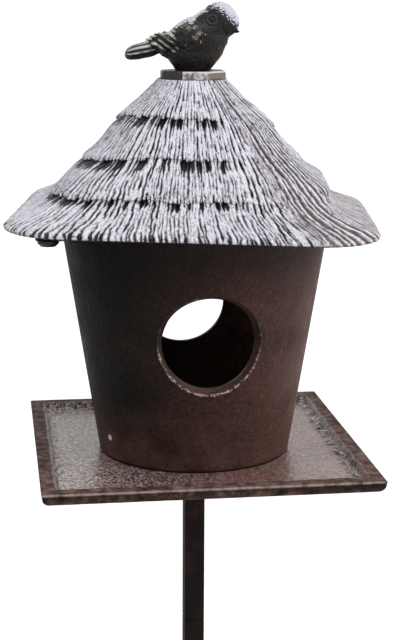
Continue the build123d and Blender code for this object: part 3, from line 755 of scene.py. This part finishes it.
# the brush skips in short dashes, drawn out down the straws
drawn = added(tree, "CombineXYZ", {0: times(kept_value(tree, "around"), 1.15),
                                   1: times(kept_value(tree, "down"), 0.34)})["Vector"]
dashes = mottle(drawn, 1.0, 2.0, 0.6)
brush = reckoned("ADD", ridge, swung(fine, -0.22, 0.20), swung(patches, -0.06, 0.08),
                 spread(dashes, 0.3, 0.6, -0.34, 0.08))
# painted shade on the left side, on the slopes that face to the left
to_left = spread(facing_towards(tree, (-1.0, 0.15, 0.0)), 0.30, 0.62, 0.0, 0.35)
brush = reckoned("SUBTRACT", brush, times(kept_value(tree, "shade"), 1.1),
                 times(to_left, kept_value(tree, "left")))
grey = shaded(brush, (0.08, 28, 22, 25), (0.28, 76, 67, 74), (0.48, 152, 146, 156),
              (0.72, 198, 195, 206), (0.95, 236, 234, 242))
# on the right the brown shows between the ridges
between = times(kept_value(tree, "right"), spread(ridge, 0.40, 0.85, 0.95, 0.0))
fed(shader, {"Base Color": mixed(between, grey, (112, 90, 80)),
             "Roughness": swung(fine, 0.42, 0.6),
             "Normal": raised(fine, 0.00025, 0.5)})

per_side = COLUMNS // 4
for number, side in enumerate(("front", "right", "back", "left")):
    columns = (number * per_side - per_side // 2 + np.arange(per_side + 1)) % COLUMNS
    patch = surface[:, columns]
    tall, wide = patch.shape[:2]
    faces = net_of(np.arange(tall * wide).reshape(tall, wide))
    thatch_side = piece_from("thatch_" + side, patch.reshape(-1, 3), faces)
    remember(thatch_side, **{name: values[:, columns] for name, values in kept_values.items()})
    thatch_side.data.normals_split_custom_set_from_vertices(facing[:, columns].reshape(-1, 3))
    node = "roof_" + side
    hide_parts(node, "roof_crown")
    dress(thatch_side, thatch)


# The two bosses inside the eave that the ears are bolted to. They are part of the roof's
# casting: round stubs, rough from the sand, that swell where they run into the roof.

BOSS_OUT = 0.0945
BOSS_SPOKES = 64
BOSS_PROFILE = [(0.0, 0.6155), (0.0066, 0.6155), (0.0076, 0.6159), (0.0080, 0.6168), (0.0080, 0.6190),
                (0.0080, 0.6215), (0.0083, 0.6232), (0.0090, 0.6245)]

spokes = np.arange(BOSS_SPOKES) / BOSS_SPOKES
for side, turn in (("left", math.radians(196.0)), ("right", math.radians(16.0))):
    corners = []
    for radius, height in BOSS_PROFILE:
        reach = radius * (1 + 0.02 * wander(spokes * 24, height * 900, 41, 24))
        corners.append(np.column_stack([BOSS_OUT * math.cos(turn) + reach * np.cos(spokes * 2 * math.pi),
                                        BOSS_OUT * math.sin(turn) + reach * np.sin(spokes * 2 * math.pi),
                                        np.full(BOSS_SPOKES, height)]))
    index = np.arange(len(BOSS_PROFILE) * BOSS_SPOKES).reshape(-1, BOSS_SPOKES)
    faces = net_of(np.pad(index, ((0, 0), (0, 1)), mode="wrap"))
    boss = piece_from("roof_boss_" + side, np.concatenate(corners), faces)
    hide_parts("roof_" + side)
    dress(boss, bolt_paint)


# The cap plate: an eight-sided plate between the thatch and the bird. The same pale grey
# is wiped over its edges, with painted light making it palest on the facets that face up
# and to the front right, and painted shade leaving the brown on the facets turned away.

cap_paint, tree, shader = finish_of("cap_paint")
spot = place(tree)
fine = mottle(spot, 600.0, 4.0, 0.65)
patches = mottle(spot, 110.0)
# painted light: palest on the facets that face up and to the front right, darkest on those turned away
wipe_and_facet_light = reckoned("ADD", spread(facing_towards(tree, (0.46, -0.76, 0.46)), 0.28, 0.85),
                swung(fine, -0.4, 0.2), swung(patches, -0.34, 0.22))
wiped_and_lit = shaded(wipe_and_facet_light, (0.15, 36, 30, 29), (0.5, 128, 121, 124), (0.85, 214, 211, 217))
side_tone = spread(facing_towards(tree, (0.9, -0.44, 0.0)), 0.70, 0.90)
fed(shader, {"Base Color": mixed(side_tone, wiped_and_lit, (124, 108, 96)),
             "Roughness": swung(fine, 0.38, 0.55),
             "Normal": raised(fine, 0.0003, 0.6)})
dress(nodes["cap_plate"], cap_paint)


# The bird: one small casting with its mount under the belly, looking to the right and a
# little down. Wings, tail and eyes are modelled in low relief. It is dark all over, with
# the pale grey brushed over its crown, its back and the ridges of its feathers; on crown,
# back and nape that pale is partly painted light, laid where the surface faces up, right and back.

BIRD_AT = Vector((-0.0015, 0.0, 0.7099))
# from here on in mm from that spot
BODY_SLANT = math.radians(18.0)
BODY = [(-22.5, 0.3), (-21.5, 2.8), (-18.0, 6.4), (-13.5, 9.4), (-9.0, 11.7), (-4.0, 13.3), (1.0, 13.9),
        (6.0, 13.7), (11.0, 12.4), (15.0, 10.4), (18.0, 8.0), (20.3, 4.2), (21.0, 0.4)]
MOUNT = [(0.0, 0.0, 0.0, 9.0, 10.5), (0.1, 0.0, 2.5, 9.7, 12.2), (0.3, 0.0, 5.5, 10.7, 14.6),
         (0.4, 0.0, 9.0, 11.9, 17.2), (0.6, 0.0, 13.0, 12.4, 18.4), (0.8, 0.0, 18.0, 11.4, 16.6)]
NECK = [(4.0, 0.0, 18.0, 13.0, 13.2), (9.0, -0.6, 23.5, 11.9, 12.2), (13.0, -1.1, 27.6, 10.8, 11.0),
        (15.7, -1.5, 30.0, 10.0, 10.1)]
TAIL = [(-6.0, 0.0, 17.5, 6.5, 5.5), (-15.0, 0.0, 16.4, 6.0, 5.6), (-24.0, 0.0, 13.4, 6.3, 5.3),
        (-32.0, 0.0, 11.4, 6.9, 4.9), (-37.0, 0.0, 10.6, 6.4, 4.3), (-39.6, 0.0, 10.3, 4.4, 3.0),
        (-40.6, 0.0, 10.2, 1.2, 1.0)]
FEATHER_TIPS = ((-22.2, 14.4), (-19.9, 16.0), (-17.2, 17.2), (-14.2, 18.0))
HEAD_AT = Vector((15.7, -1.5, 30.0))
BEAK_TURN, BEAK_DIP = math.radians(-33.0), math.radians(30.0)
EYE_OUT = 10.6
WING_SLANT = 0.26
SCALE_LONG, SCALE_WIDE = 4.6, 4.3

figure = bmesh.new()


def gathered(part):
    """Adds one rough form to the figure."""
    bmesh.ops.recalc_face_normals(part, faces=part.faces)
    passed = bpy.data.meshes.new("part")
    part.to_mesh(passed)
    part.free()
    figure.from_mesh(passed)
    bpy.data.meshes.remove(passed)


def lathe(sections, lean, spokes=48):
    """Adds a closed skin through leaning oval rings: (x, y, z, half width, half height)."""
    skin = bmesh.new()
    rings = []
    for x, y, z, wide, tall in sections:
        ring = []
        for number in range(spokes):
            angle = 2 * math.pi * number / spokes
            off = tall * math.sin(angle)
            spot_of = (x + off * math.sin(lean), y + wide * math.cos(angle), z + off * math.cos(lean))
            ring.append(skin.verts.new(spot_of))
        rings.append(ring)
    for one, two in zip(rings[:-1], rings[1:]):
        for number in range(spokes):
            after = (number + 1) % spokes
            skin.faces.new((one[number], one[after], two[after], two[number]))
    skin.faces.new(rings[0][::-1])
    skin.faces.new(rings[-1])
    gathered(skin)


def ball(middle, radius, stretch=(1.0, 1.0, 1.0), turn=0.0):
    """Adds a round or drawn-out lump; the turn, in degrees, tips its long axis up at the front."""
    lump = bmesh.new()
    bmesh.ops.create_icosphere(lump, subdivisions=4, radius=radius)
    moved = Matrix.Translation(middle) @ Matrix.Rotation(math.radians(-turn), 4, "Y")
    moved = moved @ Matrix.Diagonal((*stretch, 1.0))
    bmesh.ops.transform(lump, matrix=moved, verts=lump.verts)
    gathered(lump)


lathe([(1.0 + x * math.cos(BODY_SLANT), 0.0, 17.6 + x * math.sin(BODY_SLANT), r, r) for x, r in BODY],
      -BODY_SLANT)
lathe(MOUNT, math.pi / 2)
lathe(NECK, -0.86)
ball((15.6, -1.5, 29.9), 10.5)
ball((18.0, -2.4, 28.4), 9.4)
ball((9.5, -0.6, 25.5), 11.0, (1.15, 0.95, 0.95), 40)
lathe(TAIL, 0.25)
beak_way = Vector((math.cos(BEAK_TURN) * math.cos(BEAK_DIP), math.sin(BEAK_TURN) * math.cos(BEAK_DIP),
                   -math.sin(BEAK_DIP)))
beak = bmesh.new()
bmesh.ops.create_cone(beak, cap_ends=True, segments=40, radius1=6.6, radius2=0.6, depth=9.6)
set_out = Matrix.Translation(HEAD_AT + beak_way * 10.2)
set_out = set_out @ beak_way.to_track_quat("Z", "Y").to_matrix().to_4x4()
bmesh.ops.transform(beak, matrix=set_out @ Matrix.Diagonal((1.0, 0.86, 1.0, 1.0)), verts=beak.verts)
gathered(beak)
for side in (-1, 1):
    # the folded wing: shoulder and flank, and four feathers whose tips stand out at the rump
    ball((-1.5, side * 10.3, 20.6), 5.0, (2.3, 0.84, 1.55), 16)
    ball((-15.5, side * 6.4, 17.0), 1.0, (9.0, 3.0, 5.4), 14)
    for number, (tip_x, tip_z) in enumerate(FEATHER_TIPS):
        ball((tip_x, side * (6.0 + 0.8 * number), tip_z), 1.0, (6.7, 2.3, 1.8), -36)

# the forms are melted into one skin, which then takes the fine relief along its normals
for vertex in figure.verts:
    vertex.co = vertex.co * 0.001 + BIRD_AT
rough_mesh = bpy.data.meshes.new("bird_rough")
figure.to_mesh(rough_mesh)
figure.free()
rough = put_in("bird_rough", rough_mesh)
even = rough.modifiers.new("even", "REMESH")
even.mode = "VOXEL"
even.voxel_size = 0.00042
softer = rough.modifiers.new("softer", "SMOOTH")
softer.iterations = 7
softer.factor = 0.5
ready = bpy.data.meshes.new_from_object(rough.evaluated_get(bpy.context.evaluated_depsgraph_get()))
bpy.data.objects.remove(rough)
count = len(ready.vertices)
flat = np.empty(count * 3)
ready.vertices.foreach_get("co", flat)
at = (flat.reshape(-1, 3) - np.array(BIRD_AT)) * 1000.0
ready.vertices.foreach_get("normal", flat)
normal = flat.reshape(-1, 3).copy()
x, y, z = at.T

# tail: long ridges round it; they fade in behind the rump
tail_part = eased(-x, 20.0, 25.0)
round_tail = np.arctan2(z - (10.2 + 0.18 * (x + 40.0)), y * 0.8)
tail_ridge = np.abs(np.sin(round_tail * 5.0 + 0.4)) ** 0.7
# wing: three rows of overlapping scales, then long feathers towards the tip
along_wing = (5.0 - x) * math.cos(WING_SLANT) - (z - 24.0) * math.sin(WING_SLANT)
up_wing = (z - 24.0) * math.cos(WING_SLANT) + (5.0 - x) * math.sin(WING_SLANT)
wing_part = eased(np.abs(y), 4.6, 6.4) * eased(along_wing, 1.0, 4.0) * (1 - eased(along_wing, 31.0, 33.0))
wing_part = wing_part * eased(up_wing, -9.6, -8.0) * (1 - eased(up_wing, 5.2, 7.4))
row_of = np.floor(along_wing / SCALE_LONG)
scale_across = (up_wing / SCALE_WIDE + 0.5 * (row_of % 2)) % 1.0 - 0.5
scale_along = (along_wing / SCALE_LONG) % 1.0
scale_reach = scale_along + 1.3 * scale_across ** 2
scales = np.clip(scale_reach, 0, 1) * (1 - eased(scale_reach, 0.92, 1.08))
long_ones = 0.62 * x + 0.78 * z + 0.6 + 0.25 * wander(x * 0.3, z * 0.3, 53)
long_ones = np.abs(np.sin(math.pi * long_ones / 3.2)) ** 0.8
to_long = eased(along_wing, 15.0, 18.0)
wing_relief = scales * (1 - to_long) * 0.75 + long_ones * to_long * 1.05
# eyes, a ring with a domed middle, and the line of the beak
head_way = at - np.array(HEAD_AT)
eye_relief, eye_high, cheek = np.zeros(count), np.zeros(count), np.zeros(count)
for side in (-1, 1):
    eye_turn = BEAK_TURN + side * math.radians(90.0)
    eye_way = np.array([math.cos(eye_turn), math.sin(eye_turn), -0.02])
    eye_at = eye_way / np.linalg.norm(eye_way) * EYE_OUT
    off = np.linalg.norm(head_way - eye_at, axis=1)
    ring = np.exp(-((off - 2.7) / 0.5) ** 2)
    dome = np.sqrt(np.clip(1 - (off / 1.7) ** 2, 0, 1))
    moat = np.exp(-((off - 1.95) / 0.35) ** 2)
    eye_relief += 0.42 * ring + 0.75 * dome - 0.35 * moat - 0.25 * np.exp(-((off - 4.0) / 0.7) ** 2)
    eye_high += 0.5 * ring
    behind_eye = np.linalg.norm(head_way - eye_at + np.array([4.6, 0.0, 0.6]), axis=1)
    cheek = np.maximum(cheek, 1 - eased(np.minimum(behind_eye, off * 1.3), 4.6, 6.6))
out_along = head_way @ np.array(beak_way)
beside = head_way - out_along[:, None] * np.array(beak_way)
up_of_beak = np.array(Vector((0, 0, 1)) - beak_way * beak_way.z)
gape = np.exp(-(((beside @ up_of_beak) + 0.5) / 0.32) ** 2) * eased(out_along, 9.2, 10.6)
# plumage: short strokes that run from head to tail, and the sand's unevenness
strokes = wander(x * 0.42 + 60, np.arctan2(z - 20, y) * 7.5 + 40, 51)
grain = wander(x * 1.3 + 80, z * 1.3 + y * 0.9 + 60, 52)
plain = (1 - wing_part) * (1 - tail_part)
relief = plain * (0.14 * strokes + 0.10 * grain) + 0.06 * grain
relief += wing_part * (1 - tail_part) * (wing_relief - 0.35) + tail_part * 0.85 * (tail_ridge - 0.6)
relief += eye_relief - 0.45 * gape
stands_on = eased(z, 0.3, 1.5)
at = at + normal * (relief * stands_on)[:, None]
at[:, 2] = np.clip(at[:, 2], 0.0, 40.5)
ready.vertices.foreach_set("co", (at * 0.001 + np.array(BIRD_AT)).ravel())
ready.polygons.foreach_set("use_smooth", [True] * len(ready.polygons))
ready.update()
bird = put_in("bird_casting", ready)
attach(bird, "root")
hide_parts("bird")
scale_high = scales * (1 - to_long) * eased(wander(x * 0.35 + 9, z * 0.35, 54), -0.2, 0.3)
high = wing_part * (1 - tail_part) * (scale_high + long_ones * to_long) + tail_part * tail_ridge
cream = np.zeros(count)
for patch_x, patch_z, wide in ((-4.5, 25.0, 1.5), (-0.5, 25.6, 1.5), (1.4, 22.0, 1.7), (0.4, 19.4, 1.3)):
    cream = np.maximum(cream, np.exp(-((x - patch_x) ** 2 + (z - patch_z) ** 2) / wide ** 2) * (y < 0))
feathered = np.clip(wing_part + tail_part, 0, 1)
remember(bird, high=high, feathered=feathered, eye=eye_high, cream=cream, cheek=cheek,
         behind=eased(-x, -10.0, -4.0))

plumage, tree, shader = finish_of("bird_paint")
spot = place(tree)
where = parts_of(spot)
fine = mottle(spot, 900.0, 3.0, 0.65)
patches = mottle(spot, 190.0, 4.0)
specks = mottle(spot, 620.0, 2.0)
feathered = kept_value(tree, "feathered")
# dark brown, rusty low on the breast
dark = shaded(patches, (0.35, 13, 12, 11), (0.55, 20, 17, 15), (0.75, 40, 29, 24))
rusty = times(spread(where["Z"], 0.7105, 0.730, 0.75, 0.0), spread(where["X"], 0.000, 0.012),
              spread(patches, 0.3, 0.6))
dark = mixed(rusty, dark, (56, 24, 20))
# the pale wipe takes on crown, back and nape, but not on feathers, cheek, breast or face; where it lies
# is partly painted light, strongest where the surface faces up, right and back
brushed_and_lit = reckoned("ADD", facing_towards(tree, (0.6, 0.3, 0.74)), swung(fine, -0.16, 0.12),
                 swung(patches, -0.12, 0.12))
breast = times(spread(where["Z"], 0.731, 0.737, 0.6, 0.0), spread(where["X"], 0.004, 0.010))
brushed_and_lit = reckoned("SUBTRACT", brushed_and_lit, times(spread(specks, 0.60, 0.68), 0.7), times(feathered, 0.45),
                 kept_value(tree, "cheek"), breast,
                 spread(facing_towards(tree, (1.0, 0.1, -0.1)), 0.72, 0.97, 0.0, 0.5))
brushed_and_lit = reckoned("ADD", brushed_and_lit, times(kept_value(tree, "behind"), 0.12))
pale = mixed(feathered, (206, 205, 218), (210, 208, 200))
coat = mixed(spread(brushed_and_lit, 0.0, 0.20), dark, pale)
# a few warm patches on the near wing, pale ridges to the feathers, and a dull ring to the eye
warm_patch = times(kept_value(tree, "cream"), spread(fine, 0.35, 0.6))
coat = mixed(spread(warm_patch, 0.15, 0.6, 0.0, 0.7), coat, (188, 168, 152))
ridges = spread(times(kept_value(tree, "high"), feathered), 0.68, 0.95)
ridges = times(ridges, spread(patches, 0.35, 0.6, 0.3, 1.0),
               spread(facing_towards(tree, (-0.2, -0.35, 0.9)), -0.15, 0.45))
coat = mixed(ridges, coat, pale)
coat = mixed(spread(kept_value(tree, "eye"), 0.2, 0.5, 0.0, 0.2), coat, (120, 112, 104))
fed(shader, {"Base Color": coat,
             "Roughness": swung(patches, 0.34, 0.52),
             "Normal": raised(fine, 0.00016, 0.5),
             "Specular IOR Level": 0.3})
dress(bird, plumage)


# The setting: a pale floor that the post stands on, an even white sky, a large soft lamp
# above in front, a warmer one on the right, and a camera at the photograph's height.

WHITE = (1.0, 1.0, 1.0, 1.0)
floor_mesh = bpy.data.meshes.new("floor")
floor_mesh.from_pydata([(-30, -30, 0), (30, -30, 0), (30, 30, 0), (-30, 30, 0)], [], [(0, 1, 2, 3)])
floor = put_in("floor", floor_mesh)
floor_paint, tree, shader = finish_of("floor_paint")
seen = added(tree, "LightPath", {})
fed(shader, {"Base Color": (0.92, 0.92, 0.92, 1.0),
             "Roughness": 0.9,
             "Emission Color": WHITE,
             "Emission Strength": times(seen["Is Camera Ray"], 0.5)})
dress(floor, floor_paint)

sky = bpy.data.worlds.new("sky")
bpy.context.scene.world = sky
sky.use_nodes = True
seen = added(sky.node_tree, "LightPath", {})
direct = reckoned("MAXIMUM", seen["Is Camera Ray"], seen["Is Glossy Ray"])
fed(sky.node_tree.nodes["Background"], {"Color": WHITE, "Strength": spread(direct, 0.0, 1.0, 0.62, 1.0)})


def soft_lamp(name, spot, aim, size, power, colour=(1.0, 1.0, 1.0)):
    """A square lamp that points at a place."""
    lamp = bpy.data.lights.new(name, "AREA")
    lamp.shape = "SQUARE"
    lamp.size = size
    lamp.energy = power
    lamp.color = colour
    made = put_in(name, lamp)
    made.location = spot
    made.rotation_mode = "QUATERNION"
    made.rotation_quaternion = (Vector(aim) - Vector(spot)).to_track_quat("-Z", "Y")


soft_lamp("lamp_above", (0.5, -0.9, 2.2), (0, 0, 0.6), 1.4, 15.0)
soft_lamp("lamp_right", (1.7, -0.6, 0.9), (0, 0, 0.55), 1.0, 5.0, (1.0, 0.95, 0.92))

# worked out from the tray's square: the place, the turns, and the focal length in pixels
CAMERA_AT = Vector((-0.1240, -0.9052, 0.7586))
YAW, PITCH, ROLL = math.radians(-8.14), math.radians(12.5), math.radians(0.3)
FOCAL = 1501.0
PICTURE_TALL = 640.0
SENSOR = 36.0

camera_data = bpy.data.cameras.new("camera")
camera_data.sensor_fit = "AUTO"
camera_data.sensor_width = SENSOR
camera_data.lens = SENSOR * FOCAL / PICTURE_TALL
camera = put_in("camera", camera_data)
look = Vector((-math.sin(YAW) * math.cos(PITCH), math.cos(YAW) * math.cos(PITCH), -math.sin(PITCH)))
level = Vector((math.cos(YAW), math.sin(YAW), 0.0))
upward = level.cross(look)
side_axis = math.cos(ROLL) * level + math.sin(ROLL) * upward
up_axis = -math.sin(ROLL) * level + math.cos(ROLL) * upward
axes = Matrix((side_axis, up_axis, -look)).transposed()
camera.matrix_world = Matrix.Translation(CAMERA_AT) @ axes.to_4x4()
bpy.context.scene.camera = camera
bpy.context.scene.view_settings.view_transform = "Standard"
